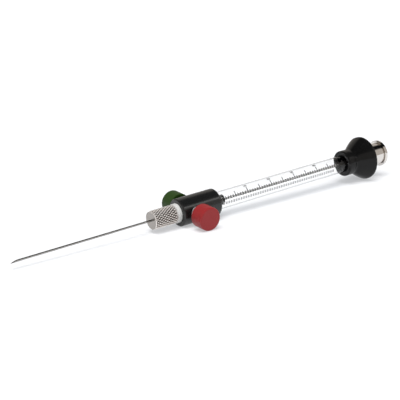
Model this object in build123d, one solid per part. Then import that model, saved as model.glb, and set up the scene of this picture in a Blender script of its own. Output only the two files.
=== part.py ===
from build123d import *
import os

# Valved gas-tight microsyringe, in millimetres.
# The origin is on the needle, where it leaves the front face of its nut.
# +X runs along the barrel towards the plunger knob, +Z is up,
# and the valve's push rod runs along Y: red button towards -Y, green towards +Y.

# fits
RUNNING_GAP = 0.03          # radial, between a sliding or turning piece and its bore
SEATED_GAP = 0.01           # radial, between a fixed piece and its socket
FACE_GAP = 0.05             # axial, between faces that turn or slide past each other

# needle, 21 gauge
NEEDLE_R = 0.41
NEEDLE_BORE_R = 0.257
NEEDLE_EXPOSED = 57.6
NEEDLE_BEVEL = 2.9
HUB_R = 0.65                # collar brazed on the needle's root, inside the nut

# knurled needle nut
NUT_R = 3.67
NUT_LENGTH = 10.1
NUT_WALL = 2.4              # thickness of the front wall the needle passes
NUT_EDGE = 0.25

# threaded stud that carries the nut
STUD_R = 2.4
STUD_FRONT_X = 3.2
STUD_SINK = 2.4             # how far the stud goes into the valve body
SEAT_R = 1.8
SEAT_DEPTH = 2.6
GASKET_THICKNESS = 1.0
FLOW_R = 0.4

# white ring between nut and valve body
NOSE_RING_R = 3.75
NOSE_RING_WIDTH = 1.6
NOSE_RING_EDGE = 0.2

# valve body
BODY_R = 5.42
BODY_LENGTH = 17.65
BODY_FRONT_EDGE = 0.45
BODY_REAR_ROUND = 0.7
VALVE_AXIS_SETBACK = 5.5    # button axis behind the body's front face

# valve sleeve and push rod
SLEEVE_R = 2.5
SLEEVE_END_SINK = 0.6       # sleeve ends below the body's round surface
PUSH_ROD_R = 1.6
PUSH_ROD_EDGE = 0.2

# push buttons
BUTTON_R = 4.55
BUTTON_LENGTH = 6.1
BUTTON_OUTER_ROUND = 0.6
BUTTON_INNER_ROUND = 0.3
BUTTON_SOCKET = 3.8
BUTTON_CLOSE_GAP = 0.58     # pushed-in button above the body's surface
BUTTON_TRAVEL = 2.0

# glass barrel
BARREL_R = 3.52
BORE_R = 0.515              # 50 microlitres over the scale's length
BARREL_SOCKET_DEPTH = 6.5
BARREL_SEAL_THICKNESS = 0.8
BARREL_IN_FLANGE = 8.4      # glass hidden inside the finger flange
BARREL_EDGE = 0.2

# scale on the glass
ZERO_SETBACK = 2.11         # zero mark behind the body's rear face
SCALE_LENGTH = 60.0
SCALE_TO_FLANGE = 4.54      # plain glass between the last mark and the flange

# bore plug, a liner in the glass's front end that the plunger tip comes home in
PLUG_R = 2.0
PLUG_SINK = 1.2             # plug root inside the valve body
PLUG_LIP = 1.64             # plug beyond the zero mark, round the plunger tip

# finger flange, distances from its front face
COLLAR_R = 5.4
COLLAR_LENGTH = 3.0
COLLAR_ROUND = 0.5
NECK_R = 4.75
NECK_AT = 4.3
FLARE_START_AT = 5.5
FLARE_START_R = 5.25
FLARE_MID_AT = 8.9
FLARE_MID_R = 7.8
RIM_FRONT_AT = 11.1
RIM_R = 9.05
RIM_WIDTH = 0.9
RIM_EDGE = 0.2
FLANGE_MOUTH_FLARE = 0.25
FLANGE_RECESS_R = 5.8
FLANGE_RECESS_DEPTH = 1.4
GRIP_RING_SECTION_R = 0.7
GRIP_RING_SQUASH = 0.25
GRIP_RING_AT = 7.0

# plunger
ROD_GAP = 0.025             # radial, between the rod and the bore
TIP_SLIDE = 0.01            # radial, between the sealing tip and the bore
TIP_LENGTH = 3.0
TIP_WALL = 0.22             # round the rod's spigot
TIP_SPIGOT_LENGTH = 2.0
TIP_EDGE = 0.08
TIP_GAP = 0.08              # tip to bore plug with the plunger home

# plunger knob
KNOB_GAP = 0.8              # knob's front face behind the flange
KNOB_R = 4.62
KNOB_LENGTH = 8.9
KNOB_RIM_R = 5.5
KNOB_RIM_WIDTH = 1.3
KNOB_GROOVE_R = 4.3
KNOB_GROOVE_WIDTH = 0.5
KNOB_EDGE = 0.25
KNOB_DISH_R = 3.6
KNOB_DISH_DEPTH = 0.3
KNOB_SOCKET = 5.5

# places that follow from the sizes above
NOSE_RING_X = NUT_LENGTH
BODY_X = NOSE_RING_X + NOSE_RING_WIDTH
BODY_END_X = BODY_X + BODY_LENGTH
VALVE_X = BODY_X + VALVE_AXIS_SETBACK
STUD_END_X = BODY_X + STUD_SINK
SEAT_X = STUD_FRONT_X + SEAT_DEPTH
GASKET_X = SEAT_X - GASKET_THICKNESS
SOCKET_X = BODY_END_X - BARREL_SOCKET_DEPTH
BARREL_X = SOCKET_X + BARREL_SEAL_THICKNESS
ZERO_X = BODY_END_X + ZERO_SETBACK
PLUG_END_X = ZERO_X + PLUG_LIP
FLANGE_FRONT_X = ZERO_X + SCALE_LENGTH + SCALE_TO_FLANGE
BARREL_END_X = FLANGE_FRONT_X + BARREL_IN_FLANGE
FLANGE_END_X = FLANGE_FRONT_X + RIM_FRONT_AT + RIM_WIDTH
KNOB_X = FLANGE_END_X + KNOB_GAP
KNOB_END_X = KNOB_X + KNOB_LENGTH
RED_INNER = BODY_R + BUTTON_CLOSE_GAP + BUTTON_TRAVEL
GREEN_INNER = BODY_R + BUTTON_CLOSE_GAP
ROD_R = BORE_R - ROD_GAP


def turned(corners):
    """Solid of revolution about the barrel axis from (x, radius) corners."""
    return revolve(make_face(Polyline(*corners, close=True)), Axis.X)


def tube(start_x, end_x, outer_r, inner_r):
    """Plain tube on the barrel axis."""
    return turned([(start_x, inner_r), (end_x, inner_r), (end_x, outer_r), (start_x, outer_r)])


def rod(start_x, end_x, radius):
    """Plain rod on the barrel axis."""
    return turned([(start_x, 0), (end_x, 0), (end_x, radius), (start_x, radius)])


def cross_rod(start, end, radius):
    """Rod along the valve axis, from start to end, measured from the barrel axis along +Y."""
    length = end - start
    return Pos(VALVE_X, (start + end) / 2, 0) * Rot(90, 0, 0) * Cylinder(radius, length)


def make_needle_tube():
    """Hollow needle with one ground bevel; the point is on its lower side, the brazed collar at its root."""
    needle = tube(-NEEDLE_EXPOSED, 0, NEEDLE_R, NEEDLE_BORE_R)
    needle += tube(0, GASKET_X, HUB_R, NEEDLE_BORE_R)
    tip = (-NEEDLE_EXPOSED, -NEEDLE_R)
    heel = (-NEEDLE_EXPOSED + NEEDLE_BEVEL, NEEDLE_R)
    above_tip = (-NEEDLE_EXPOSED - NEEDLE_R, NEEDLE_R)
    below_tip = (-NEEDLE_EXPOSED - NEEDLE_R, -NEEDLE_R)
    above_heel = (-NEEDLE_EXPOSED + NEEDLE_BEVEL, 2 * NEEDLE_R)
    above_start = (-NEEDLE_EXPOSED - NEEDLE_R, 2 * NEEDLE_R)
    outline = Polyline(tip, heel, above_heel, above_start, above_tip, below_tip, close=True)
    ground_away = extrude(make_face(Plane.XZ * outline), 2 * NEEDLE_R, both=True)
    return needle - ground_away


def make_needle_ferrule():
    """Metal sleeve fixed on the needle's collar, pressed against the gasket by the nut."""
    return tube(NUT_WALL + FACE_GAP, GASKET_X, SEAT_R - SEATED_GAP, HUB_R)


def make_needle_gasket():
    """Soft washer at the bottom of the stud's seat."""
    return tube(GASKET_X, SEAT_X, SEAT_R - SEATED_GAP, NEEDLE_BORE_R)


def make_needle_nut():
    """Finger nut: a cylinder with broken edges, hollow behind its front wall."""
    end_x = NUT_LENGTH - FACE_GAP
    needle_hole_r = HUB_R + RUNNING_GAP
    thread_r = STUD_R + RUNNING_GAP
    return turned([
        (0, needle_hole_r),
        (NUT_WALL, needle_hole_r),
        (NUT_WALL, thread_r),
        (end_x, thread_r),
        (end_x, NUT_R - NUT_EDGE),
        (end_x - NUT_EDGE, NUT_R),
        (NUT_EDGE, NUT_R),
        (0, NUT_R - NUT_EDGE),
    ])


def make_nose_stud():
    """Stud that the nut screws onto, with the needle's seat in its front."""
    return turned([
        (STUD_FRONT_X, SEAT_R),
        (SEAT_X, SEAT_R),
        (SEAT_X, FLOW_R),
        (STUD_END_X, FLOW_R),
        (STUD_END_X, STUD_R),
        (STUD_FRONT_X, STUD_R),
    ])


def make_nose_ring():
    """White ring between the nut and the valve body."""
    return turned([
        (NOSE_RING_X, STUD_R),
        (BODY_X, STUD_R),
        (BODY_X, NOSE_RING_R),
        (NOSE_RING_X + NOSE_RING_EDGE, NOSE_RING_R),
        (NOSE_RING_X, NOSE_RING_R - NOSE_RING_EDGE),
    ])


def make_valve_body():
    """Round valve body: front hole for the stud, cross bore for the sleeve, rear socket for the glass."""
    profile = make_face(Polyline(
        (BODY_X, 0),
        (BODY_END_X, 0),
        (BODY_END_X, BODY_R),
        (BODY_X + BODY_FRONT_EDGE, BODY_R),
        (BODY_X, BODY_R - BODY_FRONT_EDGE),
        close=True,
    ))
    body = revolve(profile, Axis.X)
    rear_edge = body.edges().filter_by(GeomType.CIRCLE).sort_by(Axis.X)[-1]
    body = fillet(rear_edge, BODY_REAR_ROUND)
    body -= rod(BODY_X, STUD_END_X, STUD_R)
    body -= rod(STUD_END_X, SOCKET_X, FLOW_R)
    body -= rod(SOCKET_X - PLUG_SINK, SOCKET_X, PLUG_R)
    body -= rod(SOCKET_X, BODY_END_X, BARREL_R + SEATED_GAP)
    body -= cross_rod(-BODY_R, BODY_R, SLEEVE_R)
    return body


def make_valve_sleeve():
    """Sealing sleeve in the cross bore, with a flow port through both walls."""
    reach = BODY_R - SLEEVE_END_SINK
    sleeve = cross_rod(-reach, reach, SLEEVE_R) - cross_rod(-reach, reach, PUSH_ROD_R + RUNNING_GAP)
    return sleeve - rod(VALVE_X - SLEEVE_R, VALVE_X + SLEEVE_R, FLOW_R)


def make_push_rod():
    """Rod joining the two buttons; its port lines up with the flow when the green button is in."""
    start = -(RED_INNER + BUTTON_SOCKET)
    end = GREEN_INNER + BUTTON_SOCKET
    push_rod = cross_rod(start, end, PUSH_ROD_R)
    push_rod = chamfer(push_rod.edges().filter_by(GeomType.CIRCLE), PUSH_ROD_EDGE)
    return push_rod - rod(VALVE_X - PUSH_ROD_R, VALVE_X + PUSH_ROD_R, FLOW_R)


def make_button(inner, side):
    """Round cap pressed on one end of the push rod; side is -1 for red, +1 for green."""
    cap = Pos(0, 0, BUTTON_LENGTH / 2) * Cylinder(BUTTON_R, BUTTON_LENGTH)
    rims = cap.edges().filter_by(GeomType.CIRCLE).sort_by(Axis.Z)
    cap = fillet(rims[-1], BUTTON_OUTER_ROUND)
    inner_rim = cap.edges().filter_by(GeomType.CIRCLE).sort_by(Axis.Z)[0]
    cap = fillet(inner_rim, BUTTON_INNER_ROUND)
    cap -= Pos(0, 0, BUTTON_SOCKET / 2) * Cylinder(PUSH_ROD_R, BUTTON_SOCKET)
    return Pos(VALVE_X, side * inner, 0) * Rot(-90 * side, 0, 0) * cap


def make_glass_barrel():
    """Thick glass tube with a fine bore, ground ends and a counterbore for the plug."""
    plug_hole_r = PLUG_R + SEATED_GAP
    plug_hole_end = PLUG_END_X + FACE_GAP
    return turned([
        (BARREL_X, plug_hole_r),
        (plug_hole_end, plug_hole_r),
        (plug_hole_end, BORE_R),
        (BARREL_END_X, BORE_R),
        (BARREL_END_X, BARREL_R - BARREL_EDGE),
        (BARREL_END_X - BARREL_EDGE, BARREL_R),
        (BARREL_X + BARREL_EDGE, BARREL_R),
        (BARREL_X, BARREL_R - BARREL_EDGE),
    ])


def make_bore_plug():
    """Black liner in the glass's front end; its bore steps down at the zero mark."""
    shoulder_x = ZERO_X - TIP_GAP
    return turned([
        (SOCKET_X - PLUG_SINK, FLOW_R),
        (shoulder_x, FLOW_R),
        (shoulder_x, BORE_R),
        (PLUG_END_X, BORE_R),
        (PLUG_END_X, PLUG_R),
        (SOCKET_X - PLUG_SINK, PLUG_R),
    ])


def make_barrel_seal():
    """Washer between the glass and the bottom of its socket."""
    return tube(SOCKET_X, BARREL_X, BARREL_R, PLUG_R)


def make_finger_flange():
    """Flared finger rest: front collar, shallow neck, bell and thin rim."""
    front = FLANGE_FRONT_X
    collar_end = front + COLLAR_LENGTH
    neck = (front + NECK_AT, NECK_R)
    flare_start = (front + FLARE_START_AT, FLARE_START_R)
    flare_mid = (front + FLARE_MID_AT, FLARE_MID_R)
    rim_front = (front + RIM_FRONT_AT, RIM_R)
    rim_back = FLANGE_END_X
    grip_r = BARREL_R + SEATED_GAP
    rod_hole_r = ROD_R + RUNNING_GAP
    recess_x = rim_back - FLANGE_RECESS_DEPTH
    outline = [
        Polyline(
            (front, grip_r + FLANGE_MOUTH_FLARE),
            (front, COLLAR_R - COLLAR_ROUND),
        ),
        RadiusArc((front, COLLAR_R - COLLAR_ROUND), (front + COLLAR_ROUND, COLLAR_R), COLLAR_ROUND),
        Line((front + COLLAR_ROUND, COLLAR_R), (collar_end, COLLAR_R)),
        ThreePointArc((collar_end, COLLAR_R), neck, flare_start),
        ThreePointArc(flare_start, flare_mid, rim_front),
        Polyline(
            rim_front,
            (rim_back - RIM_EDGE, RIM_R),
            (rim_back, RIM_R - RIM_EDGE),
            (rim_back, FLANGE_RECESS_R),
            (recess_x, FLANGE_RECESS_R),
            (recess_x, rod_hole_r),
            (BARREL_END_X, rod_hole_r),
            (BARREL_END_X, grip_r),
            (front + FLANGE_MOUTH_FLARE, grip_r),
            (front, grip_r + FLANGE_MOUTH_FLARE),
        ),
    ]
    flange = revolve(make_face(Curve() + outline), Axis.X)
    return flange - grip_ring_groove()


def grip_ring_groove():
    """Groove in the flange's bore for the grip ring."""
    half_width = GRIP_RING_SECTION_R
    middle = FLANGE_FRONT_X + GRIP_RING_AT
    depth_r = BARREL_R + 2 * GRIP_RING_SECTION_R - GRIP_RING_SQUASH
    return tube(middle - half_width, middle + half_width, depth_r, BARREL_R)


def make_grip_ring():
    """Rubber ring that grips the glass, flattened between the glass and its groove."""
    middle = FLANGE_FRONT_X + GRIP_RING_AT
    ring_r = BARREL_R + GRIP_RING_SECTION_R - GRIP_RING_SQUASH / 2
    ring = Pos(middle, 0, 0) * Rot(0, 90, 0) * Torus(ring_r, GRIP_RING_SECTION_R)
    return ring & grip_ring_groove()


def make_plunger_rod():
    """Steel wire rod from the tip's spigot to the knob."""
    tip_end = ZERO_X + TIP_LENGTH
    spigot_r = ROD_R - TIP_WALL
    return turned([
        (tip_end - TIP_SPIGOT_LENGTH, 0),
        (KNOB_X + KNOB_SOCKET, 0),
        (KNOB_X + KNOB_SOCKET, ROD_R),
        (tip_end, ROD_R),
        (tip_end, spigot_r),
        (tip_end - TIP_SPIGOT_LENGTH, spigot_r),
    ])


def make_plunger_tip():
    """White sealing tip fixed on the rod's spigot."""
    seal_r = BORE_R - TIP_SLIDE
    spigot_r = ROD_R - TIP_WALL
    tip_end = ZERO_X + TIP_LENGTH
    spigot_x = tip_end - TIP_SPIGOT_LENGTH
    return turned([
        (ZERO_X, 0),
        (spigot_x, 0),
        (spigot_x, spigot_r),
        (tip_end, spigot_r),
        (tip_end, seal_r),
        (ZERO_X + TIP_EDGE, seal_r),
        (ZERO_X, seal_r - TIP_EDGE),
    ])


def make_plunger_knob():
    """Turned steel knob: cylinder, narrow groove and a wider end rim with a shallow dish."""
    rim_x = KNOB_END_X - KNOB_RIM_WIDTH
    groove_x = rim_x - KNOB_GROOVE_WIDTH
    socket_x = KNOB_X + KNOB_SOCKET
    return turned([
        (KNOB_X, ROD_R),
        (socket_x, ROD_R),
        (socket_x, 0),
        (KNOB_END_X - KNOB_DISH_DEPTH, 0),
        (KNOB_END_X - KNOB_DISH_DEPTH, KNOB_DISH_R - KNOB_DISH_DEPTH),
        (KNOB_END_X, KNOB_DISH_R),
        (KNOB_END_X, KNOB_RIM_R - KNOB_EDGE),
        (KNOB_END_X - KNOB_EDGE, KNOB_RIM_R),
        (rim_x + KNOB_EDGE, KNOB_RIM_R),
        (rim_x, KNOB_RIM_R - KNOB_EDGE),
        (rim_x, KNOB_GROOVE_R),
        (groove_x, KNOB_GROOVE_R),
        (groove_x, KNOB_R),
        (KNOB_X + KNOB_EDGE, KNOB_R),
        (KNOB_X, KNOB_R - KNOB_EDGE),
    ])


PIECES = {
    "needle_tube": make_needle_tube(),
    "needle_ferrule": make_needle_ferrule(),
    "needle_gasket": make_needle_gasket(),
    "needle_nut": make_needle_nut(),
    "nose_stud": make_nose_stud(),
    "nose_ring": make_nose_ring(),
    "valve_body": make_valve_body(),
    "valve_sleeve": make_valve_sleeve(),
    "push_rod": make_push_rod(),
    "red_button": make_button(RED_INNER, -1),
    "green_button": make_button(GREEN_INNER, 1),
    "glass_barrel": make_glass_barrel(),
    "bore_plug": make_bore_plug(),
    "barrel_seal": make_barrel_seal(),
    "finger_flange": make_finger_flange(),
    "grip_ring": make_grip_ring(),
    "plunger_rod": make_plunger_rod(),
    "plunger_tip": make_plunger_tip(),
    "plunger_knob": make_plunger_knob(),
}

os.makedirs("parts", exist_ok=True)
for name, shape in PIECES.items():
    export_step(shape, f"parts/{name}.step")
    box = shape.bounding_box()
    print(f"{name:16s} volume {shape.volume:9.2f}  x {box.min.X:7.2f} {box.max.X:7.2f}  valid {shape.is_valid}")
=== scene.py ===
import math

import bmesh
import bpy
from mathutils import Matrix, Vector


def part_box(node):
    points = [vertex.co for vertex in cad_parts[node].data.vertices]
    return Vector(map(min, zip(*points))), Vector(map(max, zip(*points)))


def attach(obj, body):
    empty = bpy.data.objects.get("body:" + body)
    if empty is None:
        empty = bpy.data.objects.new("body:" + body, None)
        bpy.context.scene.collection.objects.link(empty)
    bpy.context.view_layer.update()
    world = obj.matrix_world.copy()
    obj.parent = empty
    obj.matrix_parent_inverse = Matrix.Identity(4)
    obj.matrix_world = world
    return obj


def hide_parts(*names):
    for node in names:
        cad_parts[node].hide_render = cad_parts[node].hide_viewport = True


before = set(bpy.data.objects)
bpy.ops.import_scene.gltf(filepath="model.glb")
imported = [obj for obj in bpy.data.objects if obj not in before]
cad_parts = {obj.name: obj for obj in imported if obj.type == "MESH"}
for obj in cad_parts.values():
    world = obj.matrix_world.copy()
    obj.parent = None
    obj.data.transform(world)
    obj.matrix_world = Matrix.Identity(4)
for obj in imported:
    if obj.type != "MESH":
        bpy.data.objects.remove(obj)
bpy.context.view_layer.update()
mm = 0.001
print("frame loaded,", len(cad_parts), "solid pieces")

mixSockets = {"share": 0, "first": 6, "second": 7, "result": 2}    # where a Mix node keeps its colours


def feed(tree, socket, value):
    # value is either a plain value or the output socket of another node
    if isinstance(value, bpy.types.NodeSocket):
        tree.links.new(value, socket)
    else:
        socket.default_value = value


def addNode(tree, kind, inputs=None, **settings):
    node = tree.nodes.new(kind)
    for name, value in settings.items():
        setattr(node, name, value)
    for name, value in (inputs or {}).items():
        feed(tree, node.inputs[name], value)
    return node


def mathNode(tree, operation, a, b=0.0, clamp=False):
    node = addNode(tree, "ShaderNodeMath", {0: a, 1: b}, operation=operation, use_clamp=clamp)
    return node.outputs[0]


def times(tree, a, b):
    return mathNode(tree, "MULTIPLY", a, b)


def plus(tree, a, b):
    return mathNode(tree, "ADD", a, b)


def perMm(tree, value):
    return times(tree, value, 1 / mm)


def stretch(tree, value, fromLow, fromHigh, toLow, toHigh):
    node = addNode(tree, "ShaderNodeMapRange", {
        "Value": value, "From Min": fromLow, "From Max": fromHigh, "To Min": toLow, "To Max": toHigh})
    return node.outputs["Result"]


def mixColour(tree, share, first, second):
    sockets = {mixSockets["share"]: share, mixSockets["first"]: first, mixSockets["second"]: second}
    node = addNode(tree, "ShaderNodeMix", sockets, data_type="RGBA")
    return node.outputs[mixSockets["result"]]


def blend(tree, first, second, share):
    return plus(tree, times(tree, first, share), times(tree, second, 1 - share))


def noise(tree, where, scale, detail, roughness=0.5, distortion=0.0):
    node = addNode(tree, "ShaderNodeTexNoise", {
        "Vector": where, "Scale": scale, "Detail": detail, "Roughness": roughness, "Distortion": distortion})
    return node.outputs["Fac"]


def objectPlace(tree):
    return addNode(tree, "ShaderNodeTexCoord").outputs["Object"]


def splitPlace(tree, where):
    split = addNode(tree, "ShaderNodeSeparateXYZ", {0: where})
    return split.outputs["X"], split.outputs["Y"], split.outputs["Z"]


def rgba(colour):
    return (*colour, 1.0)


def makeGroup(name, wanted, given):
    # a node group with float inputs (name: default) and float outputs
    tree = bpy.data.node_groups.new(name, "ShaderNodeTree")
    for label, default in wanted.items():
        socket = tree.interface.new_socket(name=label, in_out="INPUT", socket_type="NodeSocketFloat")
        socket.default_value = default
    for label in given:
        tree.interface.new_socket(name=label, in_out="OUTPUT", socket_type="NodeSocketFloat")
    return tree, tree.nodes.new("NodeGroupInput"), tree.nodes.new("NodeGroupOutput")


def place(tree, group, values=None):
    node = tree.nodes.new("ShaderNodeGroup")
    node.node_tree = group
    for name, value in (values or {}).items():
        node.inputs[name].default_value = value
    return node


def startMaterial(name, settings):
    material = bpy.data.materials.new(name)
    material.use_nodes = True
    tree = material.node_tree
    shader = tree.nodes["Principled BSDF"]
    for label, value in settings.items():
        shader.inputs[label].default_value = value
    return material, tree, shader


def dress(nodeName, material):
    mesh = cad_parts[nodeName].data
    mesh.materials.clear()
    mesh.materials.append(material)
    for face in mesh.polygons:
        face.material_index = 0


def meshOf(name, points, faces):
    mesh = bpy.data.meshes.new(name)
    mesh.from_pydata(points, [], faces)
    made = bmesh.new()
    made.from_mesh(mesh)
    bmesh.ops.recalc_face_normals(made, faces=made.faces)
    made.to_mesh(mesh)
    made.free()
    return mesh


def addPiece(name, mesh, body, material):
    piece = bpy.data.objects.new(name, mesh)
    bpy.context.scene.collection.objects.link(piece)
    mesh.materials.append(material)
    # flat faces keep small edges crisp
    mesh.polygons.foreach_set("use_smooth", [False] * len(mesh.polygons))
    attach(piece, body)
    return piece


surfaces = {
    "noiseLow": 0.3,         # most noise values lie between these two
    "noiseHigh": 0.7,
    "driftPerMm": 0.22,      # slow wander of the lathe rings
    "broadRings": 0.08,      # count of broad rings for each fine one
    "ringShare": 0.5,        # share of the fine rings in the tone
    "patchPerMm": 0.26,      # cloudy patches on drawn metal
    "grainShare": 0.6,       # share of the scratches in its tone
    "peelRoughness": 0.6,
    "wearFrom": 0.995,       # cosine between the true and the rounded normal where wear starts
    "wearFull": 0.86,        # and where it is full
    "wearSamples": 6,
    "chipsPerMm": 2.2,       # gaps in the worn edge
    "chipShare": 0.6,
    "chipSoft": 0.3,
    "smudgeRoughness": 0.65,
    "smudgeBend": 0.8,
    "smudgeFrom": 0.38,      # noise value where a finger mark starts
    "smudgeFull": 0.68,
    "hairWidth": 0.035,      # width of a hair scratch, as a share of its cell
    "hairsFrom": 0.52,       # hair scratches keep to the most handled places
    "hairsFull": 0.7,
}


def fromNoise(tree, value, low, high):
    return stretch(tree, value, surfaces["noiseLow"], surfaces["noiseHigh"], low, high)


def buildLatheLines():
    # fine rings left by turning: they change along the barrel axis and along the radius, not around it
    tree, given, result = makeGroup("latheLines", {"Lines per mm": 12.0, "Waver": 0.15}, ["Height", "Mask"])
    where = objectPlace(tree)
    x, y, z = splitPlace(tree, where)
    radius = mathNode(tree, "SQRT", plus(tree, times(tree, y, y), times(tree, z, z)))
    drift = noise(tree, where, surfaces["driftPerMm"] / mm, detail=2.0)
    wander = times(tree, drift, times(tree, given.outputs["Waver"], mm))
    along = plus(tree, plus(tree, x, radius), wander)
    line = times(tree, along, perMm(tree, given.outputs["Lines per mm"]))
    lines = addNode(tree, "ShaderNodeCombineXYZ", {"X": line}).outputs[0]
    fine = noise(tree, lines, 1.0, detail=3.0)
    broad = noise(tree, lines, surfaces["broadRings"], detail=1.0)
    tree.links.new(fine, result.inputs["Height"])
    tree.links.new(blend(tree, fine, broad, surfaces["ringShare"]), result.inputs["Mask"])
    return tree


def buildDrawnGrain():
    # long scratches along the barrel axis, as on drawn wire and ground rod
    tree, given, result = makeGroup("drawnGrain", {"Grain per mm": 9.0, "Length": 0.03}, ["Height", "Mask"])
    where = objectPlace(tree)
    x, y, z = splitPlace(tree, where)
    scale = perMm(tree, given.outputs["Grain per mm"])
    squeezed = addNode(tree, "ShaderNodeCombineXYZ", {
        "X": times(tree, x, times(tree, scale, given.outputs["Length"])),
        "Y": times(tree, y, scale),
        "Z": times(tree, z, scale)}).outputs[0]
    grain = noise(tree, squeezed, 1.0, detail=3.0)
    patch = noise(tree, where, surfaces["patchPerMm"] / mm, detail=2.0)
    tree.links.new(grain, result.inputs["Height"])
    tree.links.new(blend(tree, grain, patch, surfaces["grainShare"]), result.inputs["Mask"])
    return tree


def buildMouldedSkin():
    # the faint orange peel of moulded plastic, with slow changes of shade
    wanted = {"Peel per mm": 2.5, "Patch per mm": 0.25}
    tree, given, result = makeGroup("mouldedSkin", wanted, ["Height", "Mask"])
    where = objectPlace(tree)
    peel = noise(tree, where, perMm(tree, given.outputs["Peel per mm"]), 4.0, surfaces["peelRoughness"])
    patch = noise(tree, where, perMm(tree, given.outputs["Patch per mm"]), 3.0)
    tree.links.new(peel, result.inputs["Height"])
    tree.links.new(patch, result.inputs["Mask"])
    return tree


def buildEdgeWear():
    # a mask that is bright where two faces meet, broken up by noise
    tree, given, result = makeGroup("edgeWear", {"Width mm": 0.12, "Break up": 0.5}, ["Mask"])
    width = times(tree, given.outputs["Width mm"], mm)
    rounded = addNode(tree, "ShaderNodeBevel", {"Radius": width}, samples=surfaces["wearSamples"])
    sharp = addNode(tree, "ShaderNodeNewGeometry")
    alike = addNode(tree, "ShaderNodeVectorMath", {0: rounded.outputs["Normal"], 1: sharp.outputs["Normal"]},
                    operation="DOT_PRODUCT")
    edge = stretch(tree, alike.outputs["Value"], surfaces["wearFrom"], surfaces["wearFull"], 0.0, 1.0)
    chips = noise(tree, objectPlace(tree), surfaces["chipsPerMm"] / mm, detail=3.0)
    gate = mathNode(tree, "SUBTRACT", chips, times(tree, given.outputs["Break up"], surfaces["chipShare"]))
    kept = stretch(tree, gate, 0.0, surfaces["chipSoft"], 0.0, 1.0)
    tree.links.new(mathNode(tree, "MULTIPLY", edge, kept, clamp=True), result.inputs["Mask"])
    return tree


def buildHandling():
    # finger marks and hair scratches from use
    wanted = {"Marks per mm": 0.35, "Hairs per mm": 1.6}
    tree, given, result = makeGroup("handling", wanted, ["Smudge", "Hairs"])
    where = objectPlace(tree)
    smear = noise(tree, where, perMm(tree, given.outputs["Marks per mm"]), 5.0,
                  surfaces["smudgeRoughness"], surfaces["smudgeBend"])
    cells = addNode(tree, "ShaderNodeTexVoronoi", {
        "Vector": where, "Scale": perMm(tree, given.outputs["Hairs per mm"])}, feature="DISTANCE_TO_EDGE")
    smudge = stretch(tree, smear, surfaces["smudgeFrom"], surfaces["smudgeFull"], 0.0, 1.0)
    hairs = stretch(tree, cells.outputs["Distance"], 0.0, surfaces["hairWidth"], 1.0, 0.0)
    rare = stretch(tree, smear, surfaces["hairsFrom"], surfaces["hairsFull"], 0.0, 1.0)
    tree.links.new(smudge, result.inputs["Smudge"])
    tree.links.new(times(tree, hairs, rare), result.inputs["Hairs"])
    return tree


latheLines = buildLatheLines()
drawnGrain = buildDrawnGrain()
mouldedSkin = buildMouldedSkin()
edgeWear = buildEdgeWear()
handling = buildHandling()
print("shared effects built")


usualSteel = {
    "metal": 1.0,
    "marksPerMm": 0.35,
    "stained": 0.18,            # strength of the finger marks in the tone
    "wear": 0.6,                # strength of the worn edges
    "breakUp": 0.35,
    "reliefDepth": 0.004 * mm,
}
usualPlastic = {
    "bend": 1.5,
    "stained": 0.12,
    "breakUp": 0.45,
    "hairs": 0.12,              # how much hair scratches dull the surface
    "reliefDepth": 0.02 * mm,
}


def weathered(tree, tone, marks, look):
    # finger marks over the plain tone, then the worn edges
    wear = place(tree, edgeWear, {"Width mm": look["edge"], "Break up": look["breakUp"]})
    smudge = times(tree, marks.outputs["Smudge"], look["stained"])
    smudged = mixColour(tree, smudge, tone, rgba(look["stain"]))
    return mixColour(tree, times(tree, wear.outputs["Mask"], look["wear"]), smudged, rgba(look["worn"]))


def giveRelief(tree, shader, height, look):
    bump = addNode(tree, "ShaderNodeBump", {
        "Height": height, "Strength": look["relief"], "Distance": look["reliefDepth"]})
    tree.links.new(bump.outputs["Normal"], shader.inputs["Normal"])


def steelFinish(name, ownLook):
    look = usualSteel | ownLook
    material, tree, shader = startMaterial(name, {"Metallic": look["metal"]})
    grain = place(tree, look["grain"], look["grainValues"])
    marks = place(tree, handling, {"Marks per mm": look["marksPerMm"]})
    tone = mixColour(tree, grain.outputs["Mask"], rgba(look["dark"]), rgba(look["light"]))
    tree.links.new(weathered(tree, tone, marks, look), shader.inputs["Base Color"])
    rough = fromNoise(tree, grain.outputs["Mask"], look["smoothest"], look["roughest"])
    rough = plus(tree, rough, times(tree, marks.outputs["Smudge"], look["smudge"]))
    tree.links.new(rough, shader.inputs["Roughness"])
    giveRelief(tree, shader, grain.outputs["Height"], look)
    return material


def plasticFinish(name, ownLook):
    look = usualPlastic | ownLook
    material, tree, shader = startMaterial(name, {"Specular IOR Level": look["shine"], "IOR": look["bend"]})
    skin = place(tree, mouldedSkin, {"Peel per mm": look["peel"]})
    marks = place(tree, handling)
    tone = mixColour(tree, skin.outputs["Mask"], rgba(look["dark"]), rgba(look["light"]))
    tree.links.new(weathered(tree, tone, marks, look), shader.inputs["Base Color"])
    rough = fromNoise(tree, skin.outputs["Height"], look["smoothest"], look["roughest"])
    rough = mathNode(tree, "ADD", rough, times(tree, marks.outputs["Hairs"], look["hairs"]), clamp=True)
    tree.links.new(rough, shader.inputs["Roughness"])
    giveRelief(tree, shader, skin.outputs["Height"], look)
    return material


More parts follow.
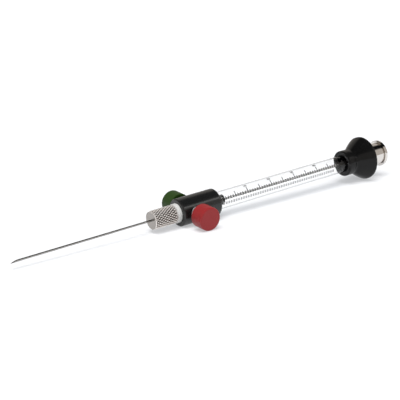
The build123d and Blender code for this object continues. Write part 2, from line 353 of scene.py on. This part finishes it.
needleSteel = steelFinish("needleSteel", {
    "grain": drawnGrain, "grainValues": {"Grain per mm": 14.0, "Length": 0.02}, "edge": 0.05,
    "dark": (0.34, 0.33, 0.32), "light": (0.39, 0.38, 0.37),
    "stain": (0.33, 0.32, 0.31), "worn": (0.45, 0.44, 0.43),
    "smoothest": 0.2, "roughest": 0.26, "smudge": 0.03, "relief": 0.12})
nutSteel = steelFinish("nutSteel", {
    "grain": latheLines, "grainValues": {"Lines per mm": 9.0, "Waver": 0.1}, "edge": 0.1, "metal": 0.55,
    "dark": (0.74, 0.695, 0.66), "light": (0.86, 0.81, 0.77),
    "stain": (0.64, 0.59, 0.55), "worn": (0.95, 0.93, 0.9),
    "smoothest": 0.07, "roughest": 0.14, "smudge": 0.05, "relief": 0.2})
# painted shade: a darker copy of the nut's steel for the knurl's grooves
nutGrooveShade = steelFinish("nutGrooveShade", {
    "grain": latheLines, "grainValues": {"Lines per mm": 9.0, "Waver": 0.1}, "edge": 0.1,
    "dark": (0.13, 0.11, 0.10), "light": (0.20, 0.175, 0.16),
    "stain": (0.1, 0.09, 0.08), "worn": (0.24, 0.22, 0.2),
    "smoothest": 0.25, "roughest": 0.4, "smudge": 0.05, "relief": 0.3})
# painted shade: a darker copy of the nut's steel for its front face
nutFrontShade = steelFinish("nutFrontShade", {
    "grain": latheLines, "grainValues": {"Lines per mm": 7.0, "Waver": 0.1}, "edge": 0.1,
    "dark": (0.33, 0.305, 0.285), "light": (0.40, 0.375, 0.35),
    "stain": (0.29, 0.265, 0.24), "worn": (0.7, 0.66, 0.6),
    "smoothest": 0.24, "roughest": 0.34, "smudge": 0.05, "relief": 0.5})
fittingSteel = steelFinish("fittingSteel", {
    "grain": latheLines, "grainValues": {"Lines per mm": 6.0}, "edge": 0.08,
    "dark": (0.5, 0.49, 0.48), "light": (0.64, 0.63, 0.62),
    "stain": (0.45, 0.42, 0.4), "worn": (0.8, 0.79, 0.78),
    "smoothest": 0.28, "roughest": 0.42, "smudge": 0.06, "relief": 0.4})
rodSteel = steelFinish("rodSteel", {
    "grain": drawnGrain, "grainValues": {"Grain per mm": 10.0, "Length": 0.03}, "edge": 0.08,
    "dark": (0.40, 0.395, 0.39), "light": (0.46, 0.455, 0.45),
    "stain": (0.38, 0.37, 0.36), "worn": (0.5, 0.5, 0.5),
    "smoothest": 0.22, "roughest": 0.34, "smudge": 0.05, "relief": 0.2})
knobSteel = steelFinish("knobSteel", {
    "grain": latheLines, "grainValues": {"Lines per mm": 5.0, "Waver": 0.05},
    "edge": 0.12, "marksPerMm": 0.25,
    "dark": (0.66, 0.63, 0.6), "light": (0.76, 0.73, 0.7),
    "stain": (0.55, 0.5, 0.46), "worn": (0.92, 0.9, 0.88),
    "smoothest": 0.03, "roughest": 0.07, "smudge": 0.03, "relief": 0.05})
blackBody = plasticFinish("blackBody", {
    "shine": 0.5, "peel": 3.0, "edge": 0.2, "wear": 0.15,
    "dark": (0.0065, 0.007, 0.007), "light": (0.009, 0.0095, 0.0095),
    "stain": (0.010, 0.010, 0.010), "worn": (0.03, 0.03, 0.03),
    "smoothest": 0.2, "roughest": 0.27, "relief": 0.2})
blackFlange = plasticFinish("blackFlange", {
    "shine": 0.22, "peel": 1.8, "edge": 0.2, "wear": 0.15,
    "dark": (0.003, 0.003, 0.003), "light": (0.005, 0.005, 0.005),
    "stain": (0.009, 0.009, 0.009), "worn": (0.03, 0.03, 0.03),
    "smoothest": 0.15, "roughest": 0.21, "relief": 0.2})
blackPlug = plasticFinish("blackPlug", {
    "shine": 0.3, "peel": 3.0, "edge": 0.1, "wear": 0.1,
    "dark": (0.003, 0.003, 0.003), "light": (0.005, 0.005, 0.005),
    "stain": (0.008, 0.008, 0.008), "worn": (0.04, 0.04, 0.04),
    "smoothest": 0.4, "roughest": 0.55, "relief": 0.2})
redPlastic = plasticFinish("redPlastic", {
    "shine": 0.4, "peel": 2.2, "edge": 0.35, "wear": 0.3,
    "dark": (0.225, 0.0095, 0.011), "light": (0.26, 0.013, 0.015),
    "stain": (0.15, 0.012, 0.012), "worn": (0.26, 0.05, 0.05),
    "smoothest": 0.42, "roughest": 0.58, "relief": 0.4})
greenPlastic = plasticFinish("greenPlastic", {
    "shine": 0.28, "peel": 2.2, "edge": 0.35, "wear": 0.3,
    "dark": (0.013, 0.037, 0.003), "light": (0.018, 0.046, 0.005),
    "stain": (0.010, 0.026, 0.004), "worn": (0.06, 0.12, 0.03),
    "smoothest": 0.42, "roughest": 0.58, "relief": 0.4})
whitePlastic = plasticFinish("whitePlastic", {
    "shine": 0.4, "peel": 2.5, "edge": 0.15, "wear": 0.2,
    "dark": (0.50, 0.50, 0.485), "light": (0.57, 0.57, 0.56),
    "stain": (0.44, 0.43, 0.40), "worn": (0.64, 0.64, 0.63),
    "smoothest": 0.4, "roughest": 0.55, "relief": 0.3})
whiteSeal = plasticFinish("whiteSeal", {
    "shine": 0.35, "peel": 3.5, "edge": 0.1, "wear": 0.1,
    "dark": (0.82, 0.82, 0.8), "light": (0.88, 0.88, 0.87),
    "stain": (0.7, 0.69, 0.66), "worn": (0.9, 0.9, 0.9),
    "smoothest": 0.45, "roughest": 0.6, "relief": 0.2})
blackRubber = plasticFinish("blackRubber", {
    "shine": 0.25, "peel": 4.0, "edge": 0.1, "wear": 0.1,
    "dark": (0.012, 0.012, 0.012), "light": (0.02, 0.02, 0.02),
    "stain": (0.03, 0.03, 0.03), "worn": (0.05, 0.05, 0.05),
    "smoothest": 0.65, "roughest": 0.8, "relief": 0.4})


glassLook = {
    "bend": 1.02,                      # nearly none, so that what lies behind shows straight
    "polish": 1.45,                    # the clear coat gives the gloss
    "coatRoughness": 0.02,
    "tint": (0.985, 0.995, 0.99),
    "tintShare": 0.5,
    "marksPerMm": 0.12,
    "clean": 0.0,                      # roughness where clean
    "smeared": 0.04,                   # and under a finger mark
    "rim": (0.16, 0.18, 0.20),         # painted shade: the dark outline that the round glass shows along its edges
    "rimFrom": 0.5,
    "rimBlend": 0.5,
    "shade": (0.55, 0.57, 0.59),       # light let through to the floor
}


def glassFinish():
    material, tree, shader = startMaterial("barrelGlass", {
        "Transmission Weight": 1.0, "IOR": glassLook["bend"], "Metallic": 0.0,
        "Coat Weight": 1.0, "Coat IOR": glassLook["polish"], "Coat Roughness": glassLook["coatRoughness"]})
    smudge = place(tree, handling, {"Marks per mm": glassLook["marksPerMm"]}).outputs["Smudge"]
    clean = rgba((1.0, 1.0, 1.0))
    tone = mixColour(tree, times(tree, smudge, glassLook["tintShare"]), clean, rgba(glassLook["tint"]))
    # painted shade: the glass's colour darkens where it is seen edge-on
    facing = addNode(tree, "ShaderNodeLayerWeight", {"Blend": glassLook["rimBlend"]}).outputs["Facing"]
    rim = stretch(tree, facing, glassLook["rimFrom"], 1.0, 0.0, 1.0)
    tree.links.new(mixColour(tree, rim, tone, rgba(glassLook["rim"])), shader.inputs["Base Color"])
    rough = stretch(tree, smudge, 0.0, 1.0, glassLook["clean"], glassLook["smeared"])
    tree.links.new(rough, shader.inputs["Roughness"])
    # light passes through for shadows, so the barrel's shadow stays pale
    ray = addNode(tree, "ShaderNodeLightPath")
    clear = addNode(tree, "ShaderNodeBsdfTransparent", {"Color": rgba(glassLook["shade"])})
    mixed = addNode(tree, "ShaderNodeMixShader", {
        0: ray.outputs["Is Shadow Ray"], 1: shader.outputs[0], 2: clear.outputs[0]})
    tree.links.new(mixed.outputs[0], tree.nodes["Material Output"].inputs["Surface"])
    return material


usualInk = {"peel": 9.0, "patch": 1.5, "smoothest": 0.4, "roughest": 0.6}


def inkFinish(name, ownLook):
    look = usualInk | ownLook
    material, tree, shader = startMaterial(name, {"Specular IOR Level": look["shine"]})
    skin = place(tree, mouldedSkin, {"Peel per mm": look["peel"], "Patch per mm": look["patch"]})
    tone = mixColour(tree, skin.outputs["Mask"], rgba(look["ink"]), rgba(look["thin"]))
    tree.links.new(tone, shader.inputs["Base Color"])
    rough = fromNoise(tree, skin.outputs["Height"], look["smoothest"], look["roughest"])
    tree.links.new(rough, shader.inputs["Roughness"])
    return material


barrelGlass = glassFinish()
scaleInk = inkFinish("scaleInk", {"ink": (0.004, 0.004, 0.004), "thin": (0.02, 0.019, 0.018), "shine": 0.3})
# painted shade: the pale row under the scale, made as ink though none is printed there
paintedEchoShade = inkFinish("paintedEchoShade", {"ink": (0.40, 0.40, 0.405), "thin": (0.48, 0.48, 0.485), "shine": 0.1})

finishOf = {
    "needle_tube": needleSteel, "needle_ferrule": fittingSteel, "needle_gasket": whiteSeal,
    "needle_nut": nutSteel, "nose_stud": fittingSteel, "nose_ring": whitePlastic,
    "valve_body": blackBody, "valve_sleeve": whiteSeal, "push_rod": fittingSteel,
    "red_button": redPlastic, "green_button": greenPlastic, "glass_barrel": barrelGlass,
    "bore_plug": blackPlug, "barrel_seal": whiteSeal, "finger_flange": blackFlange,
    "grip_ring": blackRubber, "plunger_rod": rodSteel, "plunger_tip": whiteSeal, "plunger_knob": knobSteel,
}
for nodeName, finish in finishOf.items():
    dress(nodeName, finish)
print("finishes placed on", len(finishOf), "solid pieces")


nutShape = {
    "teethAround": 22,
    "teethAlong": 6,
    "depth": 0.46 * mm,        # crest to root of the knurl
    "flat": 0.36,              # share of each crest left flat
    "stepsPerTooth": 10,       # mesh rows for each diamond
    "faceEdge": 0.22 * mm,     # broken edge round the front face
    "backEdge": 0.11 * mm,     # and round the back
    "backDrop": 0.1 * mm,      # the back edge ends this far below the knurl's root
    "fade": 0.05,              # share of the length in which the knurl runs out at each end
    "endHeight": 0.55,         # share of the depth left standing there
    "wall": 2.4 * mm,          # the front wall that holds the needle
    "hole": 0.68 * mm,         # radius of the needle's hole through it
    "threadHole": 2.43 * mm,   # and of the hole for the stud behind it
    "rings": 5,                # rings of faces across the front
    "frontTilt": -0.9,         # a face whose normal points further forward belongs to the front
    "grooveShadeBelow": 0.45,       # share of the depth below which the knurl's grooves get a painted shade, dark and dull
}


def knurlHeight(turns, along):
    # 1 on a diamond's crest, 0 in the grooves between diamonds
    leaning = along * nutShape["teethAlong"]
    deepest = 0.0
    for crossing in (turns * nutShape["teethAround"] + leaning, turns * nutShape["teethAround"] - leaning):
        deepest = max(deepest, abs(2 * (crossing % 1.0) - 1))
    return min(1.0, (1 - deepest) / (1 - nutShape["flat"]))


def knurlLift(turns, along):
    # the knurl's height with its ends run out
    fade = min(1.0, along / nutShape["fade"], (1 - along) / nutShape["fade"])
    return fade * knurlHeight(turns, along) + (1 - fade) * nutShape["endHeight"]


def nutProfile(front, back, outer):
    # (place on the axis, radius, share of the knurl's length) from the front wall round to the stud's hole
    hole, edge = nutShape["hole"], nutShape["faceEdge"]
    wallBack = front + nutShape["wall"]
    profile = [(wallBack, nutShape["threadHole"], None), (wallBack, hole, None)]
    for ring in range(nutShape["rings"] + 1):
        share = ring / nutShape["rings"]
        profile.append((front, hole + (outer - edge - hole) * share, None))
    knurlFront = front + edge
    knurlLength = back - nutShape["backEdge"] - knurlFront
    rows = nutShape["teethAlong"] * nutShape["stepsPerTooth"]
    profile += [(knurlFront + knurlLength * row / rows, outer, row / rows) for row in range(rows + 1)]
    lowest = outer - nutShape["depth"] - nutShape["backDrop"]
    return profile + [(back, lowest, None), (back, nutShape["threadHole"], None)]


def buildNut():
    low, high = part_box("needle_nut")
    profile = nutProfile(low.x, high.x, high.z)
    around = nutShape["teethAround"] * nutShape["stepsPerTooth"]
    points, faces, lifts = [], [], []
    for x, radius, share in profile:
        for step in range(around):
            turns = step / around
            lift = 1.0 if share is None else knurlLift(turns, share)
            here = radius - nutShape["depth"] * (1 - lift)
            angle = 2 * math.pi * turns
            points.append((x, here * math.cos(angle), here * math.sin(angle)))
            lifts.append(lift)
    for row in range(len(profile)):
        start, following = row * around, (row + 1) % len(profile) * around
        for step in range(around):
            beside = (step + 1) % around
            faces.append((start + step, start + beside, following + beside, following + step))
    mesh = meshOf("knurledNut", points, faces)
    nut = addPiece("knurledNut", mesh, "finger_nut", nutSteel)
    mesh.materials.append(nutGrooveShade)
    mesh.materials.append(nutFrontShade)
    for face in mesh.polygons:
        corners = [lifts[index] for index in face.vertices]
        # faces deep in the knurl get the painted groove shade
        if sum(corners) / len(corners) < nutShape["grooveShadeBelow"]:
            face.material_index = 1
        # faces of the front get the darker painted-shade copy
        elif face.normal.x < nutShape["frontTilt"]:
            face.material_index = 2
    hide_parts("needle_nut")


buildNut()
print("knurled nut built")


scaleLook = {
    "zero": 31.46 * mm,          # place of the first mark along the barrel
    "division": 1.2 * mm,
    "glassRadius": 3.52 * mm,
    "lift": 0.004 * mm,          # ink stands this far off the glass
    "ink": 0.012 * mm,           # ink thickness
    "shortTop": 38.5,            # angles are degrees above the side that faces the red button
    "middleTop": 56.5,
    "longTop": 59.5,
    "stepAngle": 5.0,            # a mark bends round the glass in steps of about this
    "fewestSteps": 3,
}
marksRow = {
    "last": 50,
    "foot": 16.8,
    "footWidth": 0.40 * mm,
    "topWidth": 0.31 * mm,
}
paintedEchoRow = {                      # a painted shade: pale dashes that stand in for the ghost the marks throw on the glass below them; nothing is printed there
    "last": 47,                  # it ends where the black collar lies behind the glass
    "foot": -13.5,
    "top": 4.5,
    "footWidth": 0.8 * mm,
    "topWidth": 0.8 * mm,
}
numberLook = {
    "foot": 63.5,
    "height": 1.15 * mm,
    "capShare": 0.72,            # height of a figure for a text size of 1
    "shift": -0.1 * mm,          # from its mark, along the barrel
    "weight": 0.045 * mm,        # how far each stroke is thickened
    "slice": 0.12 * mm,          # cut into strips this high, to bend round the glass
    "curveSteps": 3,
    "weld": 0.0001 * mm,
}


def onGlass(x, degrees, lift):
    radius = scaleLook["glassRadius"] + lift
    angle = math.radians(degrees)
    return (x, -radius * math.cos(angle), radius * math.sin(angle))


def markTop(count):
    if count % 10 == 0:
        return scaleLook["longTop"]
    return scaleLook["middleTop"] if count % 5 == 0 else scaleLook["shortTop"]


def echoTop(count):
    return paintedEchoRow["top"]


def addBar(points, faces, x, top, row):
    # one mark: a thin bar that follows the glass from its foot to its top
    start, span = len(points), top - row["foot"]
    inner, outer = scaleLook["lift"], scaleLook["lift"] + scaleLook["ink"]
    steps = max(scaleLook["fewestSteps"], int(span / scaleLook["stepAngle"]))
    for step in range(steps + 1):
        share = step / steps
        degrees = row["foot"] + span * share
        half = (row["footWidth"] + (row["topWidth"] - row["footWidth"]) * share) / 2
        points += [onGlass(x - half, degrees, inner), onGlass(x + half, degrees, inner),
                   onGlass(x + half, degrees, outer), onGlass(x - half, degrees, outer)]
    for step in range(steps):
        a, b = start + 4 * step, start + 4 * step + 4
        for side in range(4):
            other = (side + 1) % 4
            faces.append((a + side, a + other, b + other, b + side))
    end = start + 4 * steps
    faces += [(start + 3, start + 2, start + 1, start), (end, end + 1, end + 2, end + 3)]


def buildRow(name, row, topOf, finish):
    points, faces = [], []
    for count in range(row["last"] + 1):
        addBar(points, faces, scaleLook["zero"] + count * scaleLook["division"], topOf(count), row)
    addPiece(name, meshOf(name, points, faces), "syringe", finish)


def flatNumber(text):
    # the figures as a flat mesh, standing on the x axis
    curve = bpy.data.curves.new("number" + text, "FONT")
    curve.body = text
    curve.align_x = "CENTER"
    curve.size = numberLook["height"] / numberLook["capShare"]
    curve.resolution_u = numberLook["curveSteps"]
    curve.offset = numberLook["weight"]
    writing = bpy.data.objects.new("writing" + text, curve)
    flat = bpy.data.meshes.new_from_object(writing)
    made = bmesh.new()
    made.from_mesh(flat)
    bpy.data.objects.remove(writing)
    bpy.data.curves.remove(curve)
    bpy.data.meshes.remove(flat)
    return made


def inOrder(made):
    # points and faces sorted by place, so that each run gives the same mesh
    corners = sorted(made.verts, key=lambda vertex: vertex.co[:])
    indexOf = {vertex: index for index, vertex in enumerate(corners)}
    faces = []
    for face in made.faces:
        loop = [indexOf[vertex] for vertex in face.verts]
        first = loop.index(min(loop))
        faces.append(tuple(loop[first:] + loop[:first]))
    return [tuple(vertex.co) for vertex in corners], sorted(faces)


def buildNumber(text, x):
    made = flatNumber(text)
    bmesh.ops.remove_doubles(made, verts=made.verts, dist=numberLook["weld"])
    height = 0.0
    while height < numberLook["height"]:
        geometry = made.verts[:] + made.edges[:] + made.faces[:]
        bmesh.ops.bisect_plane(made, geom=geometry, plane_co=(0, height, 0), plane_no=(0, 1, 0))
        height += numberLook["slice"]
    grown = bmesh.ops.extrude_face_region(made, geom=made.faces[:])
    for vertex in (item for item in grown["geom"] if isinstance(item, bmesh.types.BMVert)):
        vertex.co.z = scaleLook["ink"]
    bmesh.ops.recalc_face_normals(made, faces=made.faces)
    for vertex in made.verts:
        degrees = numberLook["foot"] + math.degrees(vertex.co.y / scaleLook["glassRadius"])
        vertex.co = Vector(onGlass(x + vertex.co.x, degrees, scaleLook["lift"] + vertex.co.z))
    points, faces = inOrder(made)
    made.free()
    addPiece("number" + text, meshOf("number" + text, points, faces), "syringe", scaleInk)


buildRow("scaleMarks", marksRow, markTop, scaleInk)
# the pale row of painted shade below the marks
buildRow("paintedScaleEcho", paintedEchoRow, echoTop, paintedEchoShade)
for value in range(10, marksRow["last"] + 1, 10):
    middle = scaleLook["zero"] + value * scaleLook["division"] + numberLook["shift"]
    buildNumber(str(value), middle)
print("scale printed")


resting = {
    "rimInset": 0.9 * mm,        # the flange's widest circle, from its back end
    "bodyInset": 0.45 * mm,      # the valve body's front edge, past its rounding
    "capRound": 0.6 * mm,        # rounding of the button's outer edge
    "tries": 20,
}


def restingFloor():
    # the floor touches the flange's rim, the valve body's front edge and the red button's lower edge
    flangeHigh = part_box("finger_flange")[1]
    bodyLow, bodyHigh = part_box("valve_body")
    buttonLow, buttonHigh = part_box("red_button")
    rimX, rimRadius = flangeHigh.x - resting["rimInset"], flangeHigh.z
    bodyX, bodyRadius = bodyLow.x + resting["bodyInset"], bodyHigh.z
    slope = math.asin((rimRadius - bodyRadius) / (rimX - bodyX))
    capRound = resting["capRound"]
    capX = (buttonLow.x + buttonHigh.x) / 2
    capY, capRadius = buttonLow.y + capRound, buttonHigh.z - capRound
    across = 0.0
    for attempt in range(resting["tries"]):
        upward = math.sqrt(1 - slope ** 2 - across ** 2)
        level = slope * bodyX - bodyRadius * math.hypot(upward, across)
        across = (level - slope * capX + capRadius * math.hypot(upward, slope) + capRound) / capY
    normal = Vector((slope, across, math.sqrt(1 - slope ** 2 - across ** 2)))
    level = slope * bodyX - bodyRadius * math.sqrt(1 - slope ** 2)
    return normal, level


floorLook = {
    "reach": 3.0,                        # half of its side, in metres
    "pale": (0.44, 0.442, 0.448),
    "paler": (0.45, 0.452, 0.458),
    "glow": (0.42, 0.425, 0.435),        # a light table: the brightness of its own keeps shadows light
    "peel": 0.5,
    "patch": 0.01,
    "smoothest": 0.55,
    "roughest": 0.65,
}


def floorFinish():
    material, tree, shader = startMaterial("paleFloor", {
        "Specular IOR Level": 0.0, "Emission Color": rgba(floorLook["glow"]), "Emission Strength": 1.0})
    skin = place(tree, mouldedSkin, {"Peel per mm": floorLook["peel"], "Patch per mm": floorLook["patch"]})
    tone = mixColour(tree, skin.outputs["Mask"], rgba(floorLook["pale"]), rgba(floorLook["paler"]))
    tree.links.new(tone, shader.inputs["Base Color"])
    rough = fromNoise(tree, skin.outputs["Height"], floorLook["smoothest"], floorLook["roughest"])
    tree.links.new(rough, shader.inputs["Roughness"])
    return material


def buildFloor():
    normal, level = restingFloor()
    reach = floorLook["reach"]
    corners = [(-reach, -reach, 0), (reach, -reach, 0), (reach, reach, 0), (-reach, reach, 0)]
    mesh = bpy.data.meshes.new("floor")
    mesh.from_pydata(corners, [], [(0, 1, 2, 3)])
    mesh.materials.append(floorFinish())
    floor = bpy.data.objects.new("floor", mesh)
    bpy.context.scene.collection.objects.link(floor)
    floor.rotation_mode = "QUATERNION"
    floor.rotation_quaternion = normal.to_track_quat("Z", "Y")
    floor.location = normal * level
    print("floor normal", tuple(round(value, 4) for value in normal), "level mm", round(level / mm, 3))


studio = {
    "backdrop": (1.0, 1.0, 1.0),          # what the camera sees behind the floor
    "fill": (0.93, 0.96, 1.0),            # light that fills the shadows
    "fillStrength": 0.40,
    "walls": (0.55, 0.515, 0.48),         # what polished metal mirrors near the horizon
    "ceiling": (0.006, 0.006, 0.007),     # and overhead
    "ceilingFrom": 0.62,                  # upward part of the direction where the ceiling begins
    "ceilingFull": 0.70,
    "scatteredFrom": 0.5,                 # a ray that has met a matt surface gets the fill
}
lamps = {
    "sun": {"from": (-0.16, -0.08, 0.98), "strength": 3.3, "spread": 42.0, "colour": (1.0, 0.995, 0.985)},
    "front": {"from": (-0.30, -0.88, 0.36), "strength": 0.85, "spread": 70.0, "colour": (1.0, 1.0, 1.0)},
}
strip = {
    "place": (0.45, -0.428, 0.467),
    "aim": (0.05, 0, 0),
    "width": 0.24,
    "height": 0.05,
    "power": 0.22,
}


def turnTowards(lamp, direction):
    lamp.rotation_mode = "QUATERNION"
    lamp.rotation_quaternion = Vector(direction).to_track_quat("-Z", "Y")


def buildRoom():
    world = bpy.data.worlds.new("studio")
    bpy.context.scene.world = world
    world.use_nodes = True
    tree = world.node_tree
    ray = addNode(tree, "ShaderNodeLightPath").outputs
    towards = addNode(tree, "ShaderNodeTexCoord").outputs["Generated"]
    upward = splitPlace(tree, towards)[2]
    overhead = stretch(tree, upward, studio["ceilingFrom"], studio["ceilingFull"], 0.0, 1.0)
    shown = mixColour(tree, overhead, rgba(studio["walls"]), rgba(studio["ceiling"]))
    shown = mixColour(tree, ray["Is Transmission Ray"], shown, rgba(studio["backdrop"]))
    fill = tuple(part * studio["fillStrength"] for part in studio["fill"])
    scattered = mathNode(tree, "GREATER_THAN", ray["Diffuse Depth"], studio["scatteredFrom"])
    shown = mixColour(tree, scattered, shown, rgba(fill))
    shown = mixColour(tree, ray["Is Camera Ray"], shown, rgba(studio["backdrop"]))
    tree.links.new(shown, tree.nodes["Background"].inputs["Color"])


def buildLamp(name, look):
    data = bpy.data.lights.new(name, "SUN")
    data.energy = look["strength"]
    data.angle = math.radians(look["spread"])
    data.color = look["colour"]
    lamp = bpy.data.objects.new(name, data)
    turnTowards(lamp, -Vector(look["from"]))
    lamp.visible_glossy = False          # polished metal mirrors the room, not this lamp
    lamp.visible_transmission = False    # bent rays miss it too, so the barrel keeps its shadow
    bpy.context.scene.collection.objects.link(lamp)


def buildStrip():
    # a long soft light that draws the bright line on the glass and the black pieces
    data = bpy.data.lights.new("strip", "AREA")
    data.shape = "RECTANGLE"
    data.size, data.size_y = strip["width"], strip["height"]
    data.energy = strip["power"]
    lamp = bpy.data.objects.new("strip", data)
    lamp.location = strip["place"]
    turnTowards(lamp, Vector(strip["aim"]) - Vector(strip["place"]))
    bpy.context.scene.collection.objects.link(lamp)


cameraPlace = {
    "place": (-0.191408, -0.308775, 0.143043),
    "right": (0.811090, -0.583196, -0.044889),
    "up": (0.239200, 0.260679, 0.935323),
    "lens": 94.36,
    "sensor": 36.0,
    "nearest": 0.01,
    "furthest": 20.0,
    "shift": (-0.00125, 0.00125),      # share of the picture's width
}


def buildCamera():
    data = bpy.data.cameras.new("camera")
    data.lens = cameraPlace["lens"]
    data.sensor_width = cameraPlace["sensor"]
    data.clip_start, data.clip_end = cameraPlace["nearest"], cameraPlace["furthest"]
    data.shift_x, data.shift_y = cameraPlace["shift"]
    camera = bpy.data.objects.new("camera", data)
    right = Vector(cameraPlace["right"]).normalized()
    up = Vector(cameraPlace["up"])
    up = (up - right * up.dot(right)).normalized()
    turned = Matrix((right, up, right.cross(up))).transposed().to_4x4()
    camera.matrix_world = Matrix.Translation(cameraPlace["place"]) @ turned
    bpy.context.scene.collection.objects.link(camera)
    bpy.context.scene.camera = camera


buildFloor()
buildRoom()
for lampName, lampLook in lamps.items():
    buildLamp(lampName, lampLook)
buildStrip()
buildCamera()
bpy.context.scene.view_settings.view_transform = "Standard"
bpy.context.scene.view_settings.look = "None"
print("floor, light and camera placed")
